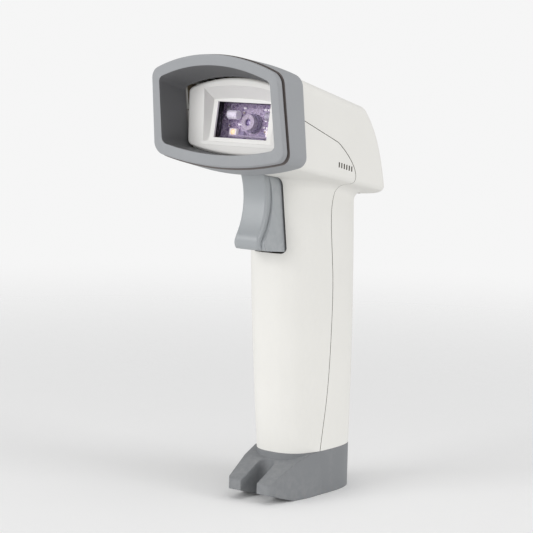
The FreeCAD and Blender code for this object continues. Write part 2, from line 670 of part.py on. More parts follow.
def build_engine():
    """The imager behind the window: board, lens, aimer, lamps and the bracket that holds it."""
    screw_holes = [cylinder(f"engine_board_hole_{x}", 0.95, 3, x, 23, 3.2, "Y") for x in (-12.5, 12.5)]
    blank = box("engine_board_blank", -14.6, 14.6, 24, "24 + boardthick", -7.6, 5.4)
    on_scan_axis(cut("engine_board", blank, *screw_holes))
    barrel = fuse("barrel_blank", cylinder("barrel_tube", 2.9, 4, 0, 20, -2, "Y"),
                  cylinder("barrel_flange", 3.5, 1.7, 0, 22.3, -2, "Y"))
    on_scan_axis(cut("lens_barrel", barrel, cylinder("barrel_bore", 2.2, 6, 0, 19, -2, "Y"),
                     cylinder("barrel_chamber", 2.95, 1.2, 0, 22.9, -2, "Y")))
    lens = cylinder("lens_blank", 2.15, 1.4, 0, 20.6, -2, "Y")
    on_scan_axis(rounded("imaging_lens", lens, 0.5,
                         lambda edge: edge.CenterOfMass.y < 20.7 and edge.Length > 5))
    on_scan_axis(box("image_sensor", -1.8, 1.8, 23.2, 24, -3.8, -0.2))
    lamps = [box(f"lamp_{x}", f"{x} - 1.6", f"{x} + 1.6", 22.7, 24, -6.6, -4.2) for x in (-8.2, 8.2)]
    on_scan_axis(group("illumination_lamps", *lamps))
    aimer = fuse("aimer_blank", box("aimer_block", -10.6, -6.0, 21.8, 24, -1.6, 3.0),
                 cylinder("aimer_tube", 1.7, 1.6, -8.3, 20.4, 0.7, "Y"))
    on_scan_axis(cut("aimer", aimer, cylinder("aimer_bore", 1.15, 1.5, -8.3, 20.3, 0.7, "Y")))
    on_scan_axis(cylinder("aimer_lens", 1.1, 0.6, -8.3, 20.7, 0.7, "Y"))
    plate = box("bracket_plate", -17.0, 17.0, 26.4, 27.8, -9.6, 6.6)
    arms = [box(f"bracket_arm_{x}", x, x + 1.5, 20.7, 27.0, -7.0, 5.0) for x in (-17.0, 15.5)]
    pads = [cylinder(f"bracket_pad_{x}", 1.8, 1.4, x, 25.0, 3.2, "Y") for x in (-12.5, 12.5)]
    slot = box("bracket_slot", -7, 7, 26, 29, -8.4, -4.4)
    holes = [cylinder(f"bracket_hole_{x}", 0.9, 6, x, 23.5, 3.2, "Y") for x in (-12.5, 12.5)]
    on_scan_axis(cut("engine_bracket", fuse("bracket_blank", plate, *arms, *pads), slot, *holes))
    on_scan_axis(box("engine_socket", -6.0, 6.0, 25.0, 26.2, -7.2, -5.2))
    ribbon = [(26.3, -6.3), (30.0, -6.3), (36.6, -0.3), (39.6, -0.3), (39.6, -0.6), (36.7, -0.6),
              (30.1, -6.6),
              (26.3, -6.6)]
    points = [V(-5.0, back, up + 0.2) for back, up in ribbon]
    strip = Part.Face(Part.makePolygon(points + points[:1])).extrude(V(10, 0, 0))
    feature("ribbon_blank", strip)
    on_scan_axis(group("engine_ribbon", doc.getObject("ribbon_blank")))


def build_main_board():
    """The decoder board that hangs under the top shell, with what is soldered to it."""
    blank = box("main_blank", -16, 16, 38, 70, 1.0, 2.2)
    holes = [cylinder(f"main_hole_{x}_{s}", 1.2, 3, x, s, 0.5) for x in (-12.5, 12.5) for s in (42, 66)]
    on_scan_axis(cut("main_board", rounded("main_round", blank, 1.5, lambda edge: abs(runs(edge).z) > 0.9),
                     *holes))
    shield = box("shield_blank", -9, 9, 44, 52.5, 2.2, 4.9)
    on_scan_axis(cut("shield_can", rounded("shield_round", shield, 0.6,
                                           lambda edge: abs(runs(edge).z) > 0.9),
                     box("shield_hollow", -8.7, 8.7, 44.3, 52.2, 2.0, 4.6)))
    on_scan_axis(box("decoder_chip", -4.5, 4.5, 45, 51.5, 2.2, 3.4))
    on_scan_axis(box("ribbon_socket", -6.4, 6.4, 38.4, 42.0, -0.1, 1.0))
    on_scan_axis(box("radio_antenna", 4, 13, 58, 61, 2.2, 3.4))
    on_scan_axis(box("status_lamp", -1.4, 1.4, 54.6, 57.4, 2.2, 3.2))
    on_scan_axis(cylinder("status_light_pipe", 2.1, 10.8, 0, 56, 3.6))
    screws = []
    for x in (-12.5, 12.5):
        for s in (42, 66):
            screws.append(fuse(f"board_screw_{x}_{s}", cylinder(f"board_screw_shank_{x}_{s}", 0.98, 6.5, x,
                                                                s, 0.4),
                               cylinder(f"board_screw_head_{x}_{s}", 1.9, 1.2, x, s, -0.2)))
    on_scan_axis(group("board_screws", *screws))
    heads = []
    for x in (-12.5, 12.5):
        heads.append(fuse(f"engine_screw_{x}", cylinder(f"engine_screw_shank_{x}", 0.88, 4.9, x, 24, 3.2,
                                                        "Y"),
                          cylinder(f"engine_screw_head_{x}", 1.5, 1.0, x, 27.8, 3.2, "Y")))
    on_scan_axis(group("engine_screws", *heads))


def build_beeper():
    can = cylinder("beeper_can", 5.4, 4.6, 14.2, -13.0, 131.6, "X")
    cut("beeper", can, cylinder("beeper_port", 1.0, 1.2, 18.0, -13.0, 131.6, "X"))
    group("beeper_pins", box("beeper_pin_front", 15.0, 15.6, -16.2, -15.6, 136.5, 139.0),
          box("beeper_pin_rear", 15.0, 15.6, -10.4, -9.8, 136.5, 137.9))


# ---------------------------------------------------------------- trigger


def at_finger_side(edge):
    """The long front edges of a trigger block, down to its lip."""
    middle = edge.CenterOfMass
    return middle.y < -33 and abs(middle.x) > 5 and middle.z < 121


def build_trigger():
    """The finger lever: a narrow hollowed blade on a wider, set-back block, on its own pin."""
    rear = [(-25.0, 93.2), (-22.4, 95.5), (-21.1, 116.0), (-21.1, 122.0), (-22.2, 128.2), (-25.0, 129.6),
            (-28.0, 129.2)]
    profiles = {
        "cheek": ([(-34.4, 122.0), (-36.9, 98.6), (-36.0, 94.2), *rear], [-23.5, 3.05], "cheekhalf", None),
        "blade": ([(-38.0, 122.6), (-39.0, 100.0), (-37.2, 94.3), (-30, 94.6), (-30, 123.6)], [-22.5, 3.97],
                  "bladehalf", 1.0),
    }
    blocks = []
    for label, (corners, radii, half, soft) in profiles.items():
        owner = body(f"trigger_{label}")
        radii = radii + [None] * (len(corners) - len(radii))
        pad(owner, f"{label}_pad", outline(owner, f"{label}_side", "YZ_Plane", corners, radii), half)
        if label == "cheek":
            owner = common("cheek_narrowed", owner, flared("cheek_flare", 0, 90, 135, -50, -10))
        blocks.append(rounded(f"{label}_soft", owner, soft, at_finger_side) if soft else owner)
    cut("trigger", fuse("trigger_blank", *blocks),
        cylinder("trigger_bore", "pinradius + 0.15", 30, -15, "pivoty", "pivotz", "X"),
        cylinder("spring_pocket", 3.2, 4, 0, -25.0, 100, "Y"))
    cylinder("trigger_pin", "pinradius - 0.01", 20.6, -10.3, "pivoty", "pivotz", "X")


def build_trigger_works():
    """Behind the trigger: switch, its board, the return spring and the bracket that carries them."""
    plate = box("works_plate", -9.0, 9.0, -13.6, -12.0, 92, 123)
    seat = cylinder("spring_seat", 3.4, 2.0, 0, -15.4, 100, "Y")
    peg = cylinder("spring_peg", 1.5, 4.4, 0, -17.4, 100, "Y")
    cut("trigger_bracket", fuse("works_blank", plate, seat, peg,
                                cylinder("tower_nut", 3.0, 5.8, 0, -12.2, 98, "Y")),
        cylinder("tower_nut_bore", "screwradius", 9, 0, -12.0, 98, "Y"))
    box("trigger_board", -7.0, 7.0, "0 - 13.6 - boardthick", -13.6, 109, 123)
    cut("trigger_switch", box("switch_case", -3.1, 3.1, -18.4, "0 - 13.6 - boardthick", 116.0, 122.0),
        cylinder("switch_bore", 1.75, 3.0, 0, -18.6, 119, "Y"))
    cylinder("switch_plunger", 1.6, 3.4, 0, -20.95, 119, "Y")
    helix = doc.addObject("Part::Helix", "spring_path")
    link(helix, Pitch="7.6 / 6", Height=7.6, Radius=2.5)
    wire = doc.addObject("Part::Circle", "spring_wire")
    wire.Placement = FreeCAD.Placement(V(2.5, 0, 0), FreeCAD.Rotation(V(1, 0, 0), 90))
    link(wire, Radius=0.3)
    coil = doc.addObject("Part::Sweep", "trigger_spring")
    coil.Sections = [wire]
    coil.Spine = (helix, ["Edge1"])
    coil.Solid = True
    coil.Frenet = True
    coil.Placement = FreeCAD.Placement(V(0, -15.85, 100), FreeCAD.Rotation(V(1, 0, 0), 90))
    leads = [cylinder(f"switch_lead_{x}", 0.5, 15.5, x, -11.2, 122.5) for x in (-6.0, -4.4)]
    group("switch_leads", *leads)


# ---------------------------------------------------------------- handle contents and foot


def build_battery():
    """The round cell in its cradle, leaning with the handle."""
    lean = math.degrees(math.atan(size("griprake")))
    centre = size("gripcentre") - size("griprake") * (21 - size("gripbottom"))
    place(cylinder("battery_cell", "cellradius", "celllength"), 0, centre, 21, lean)
    trough = cut("trough_blank", cylinder("trough_outside", "cellradius + 1.3", "celllength + 4.4", 0, 0,
                                          -2.2),
                 cylinder("trough_inside", "cellradius + 0.15", "celllength + 1.2", 0, 0, -0.6),
                 box("trough_open", -20, 20, -20, "0 - 1.0", -10, 90))
    cradle = group("battery_cradle", trough)
    place(cradle, 0, centre, 21, lean)
    ends = group("battery_contacts", cylinder("contact_low", 4.5, 0.35, 0, 0, -0.5),
                 cylinder("contact_high", 4.5, 0.35, 0, 0, "celllength + 0.15"))
    place(ends, 0, centre, 21, lean)
    group("battery_leads", *[cylinder(f"battery_lead_{x}", 0.6, 44.5, x, 6.0, 90.5) for x in (-7.0, -5.4)])


def build_foot():
    """The rubber boot over the handle's end, with a slotted toe that steadies it when it stands."""
    base = grip_form("foot_sleeve", 0, 0.0, size("gripbottom"))
    toe = body("foot_toe_profile")
    side = [("toeheel", 0), (-5, 0), (-5, 16.8), (-12.5, 16.8), (-20.7, 14.2), ("toefront", "toehigh"),
            ("toefront", "toelow")]
    pad(toe, "foot_toe_pad", outline(toe, "foot_toe_side", "YZ_Plane", side), 20)
    plan = body("foot_toe_plan")
    above = [("0 - toehalf", "toefront"), ("toehalf", "toefront"), (12.95, -12.5), (12.95, -5),
             (-12.95, -5), (-12.95, -12.5)]
    pad(plan, "foot_plan_pad", outline(plan, "foot_toe_above", "XY_Plane", above), 40)
    wedge = common("foot_wedge", toe, plan)
    wedge = rounded("foot_wedge_round", wedge, 1.6,
                    lambda e: e.CenterOfMass.y < -33 and abs(runs(e).z) > 0.9)
    slot = fuse("foot_slot", box("foot_slot_run", "0 - slothalf", "slothalf", -40, "slotend - slothalf", -2,
                                 20),
                cylinder("foot_slot_end", "slothalf", 22, 0, "slotend - slothalf", -2))
    cavity = grip_form("foot_cavity", size("neckdepth") - 0.12, 3.5, size("gripbottom") + 1)
    tools = [slot, cavity]
    for y in (-11, 13):
        tools.append(cylinder(f"foot_screw_hole_{y}", 1.25, 10, 0, y, -1))
        tools.append(cylinder(f"foot_head_hole_{y}", 2.2, 3.2, 0, y, -1))
    for x in (-5.5, 5.5):
        tools.append(cylinder(f"foot_contact_hole_{x}", 1.8, 10, x, 3, -1))
    cut("foot", fuse("foot_solid", base, wedge), *tools)
    screws = [fuse(f"foot_screw_{y}", cylinder(f"foot_screw_shank_{y}", 0.98, 9.5, 0, y, 1.0),
                   cylinder(f"foot_screw_head_{y}", 2.0, 1.2, 0, y, 1.0)) for y in (-11, 13)]
    group("foot_screws", *screws)
    pins = [fuse(f"contact_{x}", cylinder(f"contact_pin_{x}", 1.6, 6.4, x, 3, 0.4),
                 cylinder(f"contact_collar_{x}", 2.6, 0.7, x, 3, 6.1)) for x in (-5.5, 5.5)]
    group("charging_contacts", *pins)
    fuse("housing_screw", cylinder("housing_screw_shank", 0.98, 22.5, 0, -8.4, 98, "Y"),
         cylinder("housing_screw_head", 2.1, 1.6, 0, 13.0, 98, "Y"))


PARTS = [
    "front_housing", "rear_housing", "hood", "nose_bezel", "window", "window_gasket",
    "engine_board", "lens_barrel", "imaging_lens", "image_sensor", "illumination_lamps", "aimer",
    "aimer_lens", "engine_bracket", "engine_socket", "engine_ribbon", "main_board", "shield_can",
    "decoder_chip", "ribbon_socket", "radio_antenna", "status_lamp", "status_light_pipe",
    "board_screws", "engine_screws", "beeper", "beeper_pins", "trigger", "trigger_pin",
    "trigger_bracket", "trigger_board", "trigger_switch", "switch_plunger", "trigger_spring",
    "switch_leads", "battery_cell", "battery_cradle", "battery_contacts", "battery_leads", "foot",
    "foot_screws", "charging_contacts", "housing_screw",
]

build_shells()
build_hood()
build_nose()
build_window()
build_engine()
build_main_board()
build_beeper()
build_trigger()
build_trigger_works()
build_battery()
build_foot()
doc.recompute()

faults = [item.Label for item in doc.Objects if "Invalid" in item.State or "Error" in item.State]
labelled = {item.Label: item for item in doc.Objects}
for name in PARTS:
    shape = labelled[name].Shape
    if shape.isNull() or not shape.isValid() or shape.Volume < 0.01:
        faults.append(name)
if faults:
    raise RuntimeError("these objects failed: " + ", ".join(faults))

os.makedirs("parts", exist_ok=True)
for name in PARTS:
    labelled[name].Shape.exportStep(f"parts/{name}.step")
    print(name, round(labelled[name].Shape.Volume, 1), len(labelled[name].Shape.Solids))
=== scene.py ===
import json
import math

import bmesh
import bpy
from mathutils import Matrix, Vector
from mathutils.bvhtree import BVHTree

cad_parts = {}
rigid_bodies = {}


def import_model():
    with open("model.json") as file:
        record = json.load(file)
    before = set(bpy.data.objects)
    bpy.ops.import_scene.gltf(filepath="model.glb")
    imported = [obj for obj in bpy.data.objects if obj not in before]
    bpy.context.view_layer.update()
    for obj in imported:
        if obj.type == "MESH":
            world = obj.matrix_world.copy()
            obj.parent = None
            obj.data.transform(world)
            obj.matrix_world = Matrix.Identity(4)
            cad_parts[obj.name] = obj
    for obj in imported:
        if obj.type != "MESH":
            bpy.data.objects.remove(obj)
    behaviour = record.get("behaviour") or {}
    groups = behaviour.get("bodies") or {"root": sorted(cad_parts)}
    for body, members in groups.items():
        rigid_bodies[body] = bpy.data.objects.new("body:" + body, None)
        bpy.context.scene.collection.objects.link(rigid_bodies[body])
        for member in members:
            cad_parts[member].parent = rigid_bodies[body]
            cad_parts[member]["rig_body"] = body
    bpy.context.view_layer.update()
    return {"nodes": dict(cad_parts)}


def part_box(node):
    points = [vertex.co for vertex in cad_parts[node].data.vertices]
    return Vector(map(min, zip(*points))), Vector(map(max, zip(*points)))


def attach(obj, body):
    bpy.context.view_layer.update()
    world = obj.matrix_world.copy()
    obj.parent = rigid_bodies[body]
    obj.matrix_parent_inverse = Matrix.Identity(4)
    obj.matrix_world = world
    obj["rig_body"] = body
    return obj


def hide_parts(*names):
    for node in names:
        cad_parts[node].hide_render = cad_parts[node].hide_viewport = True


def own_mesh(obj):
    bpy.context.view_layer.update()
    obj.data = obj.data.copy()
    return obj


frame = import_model()

# ---------------------------------------------------------------- moulded shells
# Front and rear shell: injection-moulded ABS in warm white with a fine spark-eroded texture.
# They meet along a seam down the neck and handle; one screw from behind and two from the foot hold them.
# Faces that look at another shell wall, inside, in the seam, the slots and round the trigger, take a brown-black
# painted shade.

MM = 0.001
WELD = 0.002 * MM
SLIVER = 0.0001 * MM
RAY_START, RAY_REACH = 0.02 * MM, 70 * MM
DUST_TONE = (0.55, 0.53, 0.50)


def socket_group(name, inputs, outputs):
    """An empty shader node group with named inputs (default values) and outputs."""
    tree = bpy.data.node_groups.new(name, "ShaderNodeTree")
    for label, kind, value in inputs:
        socket = tree.interface.new_socket(label, in_out="INPUT", socket_type=kind)
        if value is not None:
            socket.default_value = value
    for label, kind in outputs:
        tree.interface.new_socket(label, in_out="OUTPUT", socket_type=kind)
    return tree, tree.nodes.new("NodeGroupInput"), tree.nodes.new("NodeGroupOutput")


def add(tree, kind, **settings):
    """A node with its settings; keys that name an input socket set that socket."""
    node = tree.nodes.new(kind)
    for key, value in settings.items():
        label = key.replace("_", " ")
        if hasattr(node, key):
            setattr(node, key, value)
        else:
            node.inputs[label].default_value = value
    return node


def ranged(tree, source, low, high, to_low, to_high):
    node = add(tree, "ShaderNodeMapRange")
    for index, value in zip((1, 2, 3, 4), (low, high, to_low, to_high)):
        node.inputs[index].default_value = value
    tree.links.new(source, node.inputs[0])
    return node


FLOAT, VECTOR = "NodeSocketFloat", "NodeSocketVector"

# fine grain: mould texture as a height, and slow drifts of gloss and tone over the surface
grain_group, grain_in, grain_out = socket_group(
    "mould_grain",
    [("Vector", VECTOR, None), ("Scale", FLOAT, 2500.0), ("Roughness", FLOAT, 0.5), ("Drift", FLOAT, 0.08)],
    [("Height", FLOAT), ("Roughness", FLOAT), ("Tone", FLOAT)],
)
links = grain_group.links
fine = add(grain_group, "ShaderNodeTexNoise", Detail=4.0)
links.new(grain_in.outputs["Vector"], fine.inputs["Vector"])
links.new(grain_in.outputs["Scale"], fine.inputs["Scale"])
links.new(fine.outputs["Fac"], grain_out.inputs["Height"])
slow = add(grain_group, "ShaderNodeTexNoise", Scale=55.0, Detail=5.0)
links.new(grain_in.outputs["Vector"], slow.inputs["Vector"])
centred = add(grain_group, "ShaderNodeMath", operation="SUBTRACT")
centred.inputs[1].default_value = 0.5
links.new(slow.outputs["Fac"], centred.inputs[0])
drift = add(grain_group, "ShaderNodeMath", operation="MULTIPLY_ADD")
links.new(centred.outputs[0], drift.inputs[0])
links.new(grain_in.outputs["Drift"], drift.inputs[1])
links.new(grain_in.outputs["Roughness"], drift.inputs[2])
links.new(drift.outputs[0], grain_out.inputs["Roughness"])
tone = add(grain_group, "ShaderNodeMath", operation="MULTIPLY_ADD")
links.new(centred.outputs[0], tone.inputs[0])
links.new(grain_in.outputs["Drift"], tone.inputs[1])
tone.inputs[2].default_value = 1.0
links.new(tone.outputs[0], grain_out.inputs["Tone"])

# edge wear: a broken mask along convex edges, where hands and counters polish the surface
wear_group, wear_in, wear_out = socket_group(
    "edge_wear",
    [("Vector", VECTOR, None), ("Amount", FLOAT, 0.3)],
    [("Mask", FLOAT)],
)
links = wear_group.links
shape = add(wear_group, "ShaderNodeNewGeometry")
edge = ranged(wear_group, shape.outputs["Pointiness"], 0.52, 0.60, 0.0, 1.0)
patches = add(wear_group, "ShaderNodeTexNoise", Scale=420.0, Detail=6.0)
links.new(wear_in.outputs["Vector"], patches.inputs["Vector"])
broken = ranged(wear_group, patches.outputs["Fac"], 0.40, 0.62, 0.0, 1.0)
both = add(wear_group, "ShaderNodeMath", operation="MULTIPLY")
links.new(edge.outputs[0], both.inputs[0])
links.new(broken.outputs[0], both.inputs[1])
scaled = add(wear_group, "ShaderNodeMath", operation="MULTIPLY")
links.new(both.outputs[0], scaled.inputs[0])
links.new(wear_in.outputs["Amount"], scaled.inputs[1])
links.new(scaled.outputs[0], wear_out.inputs["Mask"])

# dust: a thin veil on surfaces that face up
dust_group, dust_in, dust_out = socket_group(
    "settled_dust",
    [("Vector", VECTOR, None), ("Amount", FLOAT, 0.05)],
    [("Mask", FLOAT)],
)
links = dust_group.links
facing = add(dust_group, "ShaderNodeNewGeometry")
split = add(dust_group, "ShaderNodeSeparateXYZ")
links.new(facing.outputs["Normal"], split.inputs[0])
upward = ranged(dust_group, split.outputs["Z"], 0.5, 1.0, 0.0, 1.0)
specks = add(dust_group, "ShaderNodeTexNoise", Scale=900.0, Detail=8.0)
links.new(dust_in.outputs["Vector"], specks.inputs["Vector"])
thin = ranged(dust_group, specks.outputs["Fac"], 0.45, 0.7, 0.0, 1.0)
veil = add(dust_group, "ShaderNodeMath", operation="MULTIPLY")
links.new(upward.outputs[0], veil.inputs[0])
links.new(thin.outputs[0], veil.inputs[1])
amount = add(dust_group, "ShaderNodeMath", operation="MULTIPLY")
links.new(veil.outputs[0], amount.inputs[0])
links.new(dust_in.outputs["Amount"], amount.inputs[1])
links.new(amount.outputs[0], dust_out.inputs["Mask"])


def grouped(tree, group, vector, **values):
    node = tree.nodes.new("ShaderNodeGroup")
    node.node_tree = group
    tree.links.new(vector, node.inputs["Vector"])
    for label, value in values.items():
        node.inputs[label].default_value = value
    return node


def mixed(tree, factor, first, second):
    """One colour over another by a mask; first is a socket, second a plain colour."""
    node = add(tree, "ShaderNodeMix", data_type="RGBA")
    tree.links.new(factor, node.inputs[0])
    tree.links.new(first, node.inputs[6])
    node.inputs[7].default_value = (*second, 1.0)
    return node.outputs[2]


def finish(name, colour, rough=0.5, metallic=0.0, grain=2500.0, depth=0.03, drift=0.06, wear=0.25, worn=None,
           dust=0.05, coat=0.0, glow=0.0, soft_edge=0.0):
    """A node material: base tone that drifts slightly, mould grain, worn edges and a trace of dust."""
    material = bpy.data.materials.new(name)
    material.use_nodes = True
    tree = material.node_tree
    shader = tree.nodes["Principled BSDF"]
    place = add(tree, "ShaderNodeTexCoord")
    where = place.outputs["Object"]
    surface = grouped(tree, grain_group, where, Scale=grain, Roughness=rough, Drift=drift)
    toned = add(tree, "ShaderNodeMix", data_type="RGBA", blend_type="MULTIPLY")
    toned.inputs[0].default_value = 1.0
    toned.inputs[6].default_value = (*colour, 1.0)
    tree.links.new(surface.outputs["Tone"], toned.inputs[7])
    worn = worn or [min(1.0, value * 1.25 + 0.02) for value in colour]
    edges = grouped(tree, wear_group, where, Amount=wear)
    base = mixed(tree, edges.outputs["Mask"], toned.outputs[2], worn)
    veil = grouped(tree, dust_group, where, Amount=dust)
    base = mixed(tree, veil.outputs["Mask"], base, DUST_TONE)
    tree.links.new(base, shader.inputs["Base Color"])
    tree.links.new(surface.outputs["Roughness"], shader.inputs["Roughness"])
    bump = add(tree, "ShaderNodeBump", Strength=0.35, Distance=depth * MM)
    tree.links.new(surface.outputs["Height"], bump.inputs["Height"])
    if soft_edge:
        softened = add(tree, "ShaderNodeBevel", samples=6)
        softened.inputs["Radius"].default_value = soft_edge * MM
        tree.links.new(softened.outputs["Normal"], bump.inputs["Normal"])
    tree.links.new(bump.outputs["Normal"], shader.inputs["Normal"])
    shader.inputs["Metallic"].default_value = metallic
    shader.inputs["Coat Weight"].default_value = coat
    if glow:
        shader.inputs["Emission Color"].default_value = (*colour, 1.0)
        shader.inputs["Emission Strength"].default_value = glow
    return material


def dress(node, slot, *materials, pick=None, sharp=36.0):
    """A welded copy of one CAD body with soft shading over its curves; pick chooses a face's material."""
    mesh = frame["nodes"][node].data.copy()
    mesh.name = node + "_skin"
    mesh.materials.clear()
    for material in materials:
        mesh.materials.append(material)
    form = bmesh.new()
    form.from_mesh(mesh)
    bmesh.ops.remove_doubles(form, verts=form.verts, dist=WELD)
    bmesh.ops.dissolve_degenerate(form, edges=form.edges, dist=SLIVER)
    form.normal_update()
    limit = math.cos(math.radians(sharp))
    areas = {face: face.calc_area() for face in form.faces}
    normals = []
    for face in form.faces:
        face.smooth = True
        face.material_index = pick(face) if pick else 0
        for corner in face.loops:
            total = Vector()
            for near in corner.vert.link_faces:
                if near.normal.dot(face.normal) > limit:
                    total += near.normal * areas[near]
            normals.append(total.normalized() if total.length else face.normal.copy())
    form.to_mesh(mesh)
    form.free()
    mesh.normals_split_custom_set(normals)
    piece = bpy.data.objects.new(node + "_skin", mesh)
    bpy.context.scene.collection.objects.link(piece)
    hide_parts(node)
    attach(piece, frame["nodes"][node]["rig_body"])
    return piece


def solid_tree(node):
    data = frame["nodes"][node].data
    return BVHTree.FromPolygons([v.co for v in data.vertices], [list(p.vertices) for p in data.polygons])


shell_trees = [solid_tree(node) for node in ("front_housing", "rear_housing")]


def faces_a_wall(face):
    """1 where the face looks straight at another wall of the shells: inside, in a slot or in the seam; these
    faces get the painted shade.
    """
    start = face.calc_center_median() + face.normal * RAY_START
    return int(any(tree.ray_cast(start, face.normal, RAY_REACH)[0] is not None for tree in shell_trees))


shell_white = finish("shell_white", (0.80, 0.79, 0.755), rough=0.46, grain=3200.0, depth=0.02, drift=0.05,
                     wear=0.12, worn=(0.86, 0.85, 0.82), dust=0.03)
# painted shade: a brown-black colour on every shell face that looks at another wall, where shade falls
shell_painted_shade = finish("painted_shade_brown", (0.15, 0.12, 0.08), rough=0.7, grain=1500.0, wear=0.0, dust=0.0)
for node in ("front_housing", "rear_housing"):
    dress(node, "shell", shell_white, shell_painted_shade, pick=faces_a_wall)

# ---------------------------------------------------------------- hood
# Soft grey rubber hood that stretches over the shells' front rim and keeps stray light off the window.
# One compression moulding: a front ring, a shallow groove where the mould parts, and the gripping band.

hood_tilt = math.radians(7.8)
hood_low, hood_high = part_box("hood")
hood_normal = Vector((0, math.cos(hood_tilt), math.sin(hood_tilt)))
hood_points = [vertex.co.dot(hood_normal) for vertex in frame["nodes"]["hood"].data.vertices]
hood_face = min(hood_points)
hood_centre = (hood_low + hood_high) / 2
groove_from, groove_to = 1.9 * MM, 3.1 * MM


def hood_zone(face):
    """0 outside, 1 in the groove, 2 on the inner walls, which look at the middle of the mouth; 1 and 2 take
    painted shade.
    """
    depths = [vertex.co.dot(hood_normal) - hood_face for vertex in face.verts]
    if groove_from < min(depths) and max(depths) < groove_to:
        return 1
    inward = hood_centre - face.calc_center_median()
    sideways = abs(face.normal.dot(hood_normal)) < 0.5
    return 2 if sideways and inward.dot(face.normal) > 0 else 0


hood_rubber = finish("hood_rubber", (0.325, 0.335, 0.35), rough=0.58, grain=2200.0, depth=0.03, drift=0.08,
                     wear=0.18, worn=(0.42, 0.43, 0.44), dust=0.12, soft_edge=0.5)
# painted shade: the groove is coloured dark brown-grey where shade falls in it, with some dust on top
groove_painted_shade = finish("groove_painted_shade", (0.17, 0.15, 0.145), rough=0.75, grain=1800.0, wear=0.0, dust=0.2)
# painted shade: the hood's inner walls are coloured darker than its rubber, where shade falls inside the mouth
hood_wall_painted_shade = finish("hood_wall_painted_shade", (0.15, 0.152, 0.157), rough=0.8, grain=2200.0, depth=0.03, wear=0.0,
                     dust=0.1)
dress("hood", "hood_rubber", hood_rubber, groove_painted_shade, hood_wall_painted_shade, pick=hood_zone)

# ---------------------------------------------------------------- nose bezel, window and gasket
# White moulded bezel that plugs the shells' mouth and funnels down to the scan window.
# The pane is acrylic with a violet anti-reflection coating, bedded on a die-cut black foam frame.

bezel_white = finish("bezel_white", (0.89, 0.88, 0.86), rough=0.42, grain=3200.0, depth=0.015, drift=0.05,
                     wear=0.1, dust=0.03)
dress("nose_bezel", "bezel", bezel_white)
foam = finish("gasket_foam", (0.02, 0.02, 0.02), rough=0.9, grain=4500.0, depth=0.2, wear=0.0)
dress("window_gasket", "black_foam", foam)

pane = bpy.data.materials.new("coated_pane")
pane.use_nodes = True
tree = pane.node_tree
tree.nodes.clear()
output = add(tree, "ShaderNodeOutputMaterial")
place = add(tree, "ShaderNodeTexCoord")
smears = add(tree, "ShaderNodeTexNoise", Scale=180.0, Detail=5.0, Distortion=0.6)
tree.links.new(place.outputs["Object"], smears.inputs["Vector"])
smear_rough = ranged(tree, smears.outputs["Fac"], 0.4, 0.7, 0.04, 0.16)
clear = add(tree, "ShaderNodeBsdfTransparent")
clear.inputs["Color"].default_value = (0.985, 0.97, 0.995, 1.0)
gloss = add(tree, "ShaderNodeBsdfGlossy")
gloss.inputs["Color"].default_value = (0.80, 0.72, 0.98, 1.0)
tree.links.new(smear_rough.outputs[0], gloss.inputs["Roughness"])
fresnel = add(tree, "ShaderNodeFresnel", IOR=1.22)
blend = add(tree, "ShaderNodeMixShader")
tree.links.new(fresnel.outputs[0], blend.inputs[0])
tree.links.new(clear.outputs[0], blend.inputs[1])
tree.links.new(gloss.outputs[0], blend.inputs[2])
tree.links.new(blend.outputs[0], output.inputs["Surface"])
dress("window", "window_glass", pane)

# ---------------------------------------------------------------- scan engine
# The imager: a violet circuit board with lens barrel, aimer and two warm-white lamps, on a black bracket.
# Chip parts are soldered in rows round the lens; two screws hold board and bracket together.

engine_violet = finish("engine_board_mask", (0.17, 0.105, 0.23), rough=0.35, grain=1400.0, depth=0.02,
                       drift=0.12, wear=0.1, coat=0.4, dust=0.0)
tree = engine_violet.node_tree
shader = tree.nodes["Principled BSDF"]
mask_colour = shader.inputs["Base Color"].links[0].from_socket
place = tree.nodes["Texture Coordinate"]
tracks = add(tree, "ShaderNodeTexVoronoi", feature="DISTANCE_TO_EDGE", Scale=620.0, Randomness=0.7)
tree.links.new(place.outputs["Object"], tracks.inputs["Vector"])
track_line = ranged(tree, tracks.outputs["Distance"], 0.10, 0.16, 0.75, 0.0)
tracked = mixed(tree, track_line.outputs[0], mask_colour, (0.40, 0.31, 0.44))
tree.links.new(tracked, shader.inputs["Base Color"])
black_plastic = finish("black_plastic", (0.03, 0.03, 0.035), rough=0.45, grain=2600.0, dust=0.03)
# painted light and shade: the black plastic barrel gets a light mauve painted light on its front ring and a
# darker violet painted shade on its flange
ring_painted_light = finish("lens_ring_painted_light", (0.42, 0.37, 0.42), rough=0.3, grain=2600.0, dust=0.0)
flange_painted_shade = finish("lens_flange_painted_shade", (0.12, 0.08, 0.18), rough=0.4, grain=2600.0, dust=0.0)
lens_glass = finish("lens_coating", (0.16, 0.10, 0.28), rough=0.12, grain=300.0, depth=0.0, wear=0.0, coat=1.0,
                    dust=0.0)
chip_black = finish("chip_epoxy", (0.04, 0.04, 0.045), rough=0.55, grain=3500.0, dust=0.0)
lamp_package = finish("lamp_package", (0.88, 0.85, 0.80), rough=0.35, grain=900.0, wear=0.0, glow=0.25,
                      dust=0.0)
lamp_resin = finish("lamp_resin", (0.95, 0.72, 0.36), rough=0.15, grain=900.0, wear=0.0, coat=0.8, glow=0.55,
                    dust=0.0)
aimer_white = finish("aimer_white", (0.90, 0.89, 0.91), rough=0.35, glow=0.12, dust=0.0)
socket_cream = finish("socket_cream", (0.70, 0.68, 0.62), rough=0.5)
ribbon_amber = finish("ribbon_film", (0.55, 0.30, 0.08), rough=0.28, grain=700.0, coat=0.5)
tinned = finish("tinned", (0.72, 0.72, 0.70), rough=0.3, metallic=1.0, grain=800.0, wear=0.3)

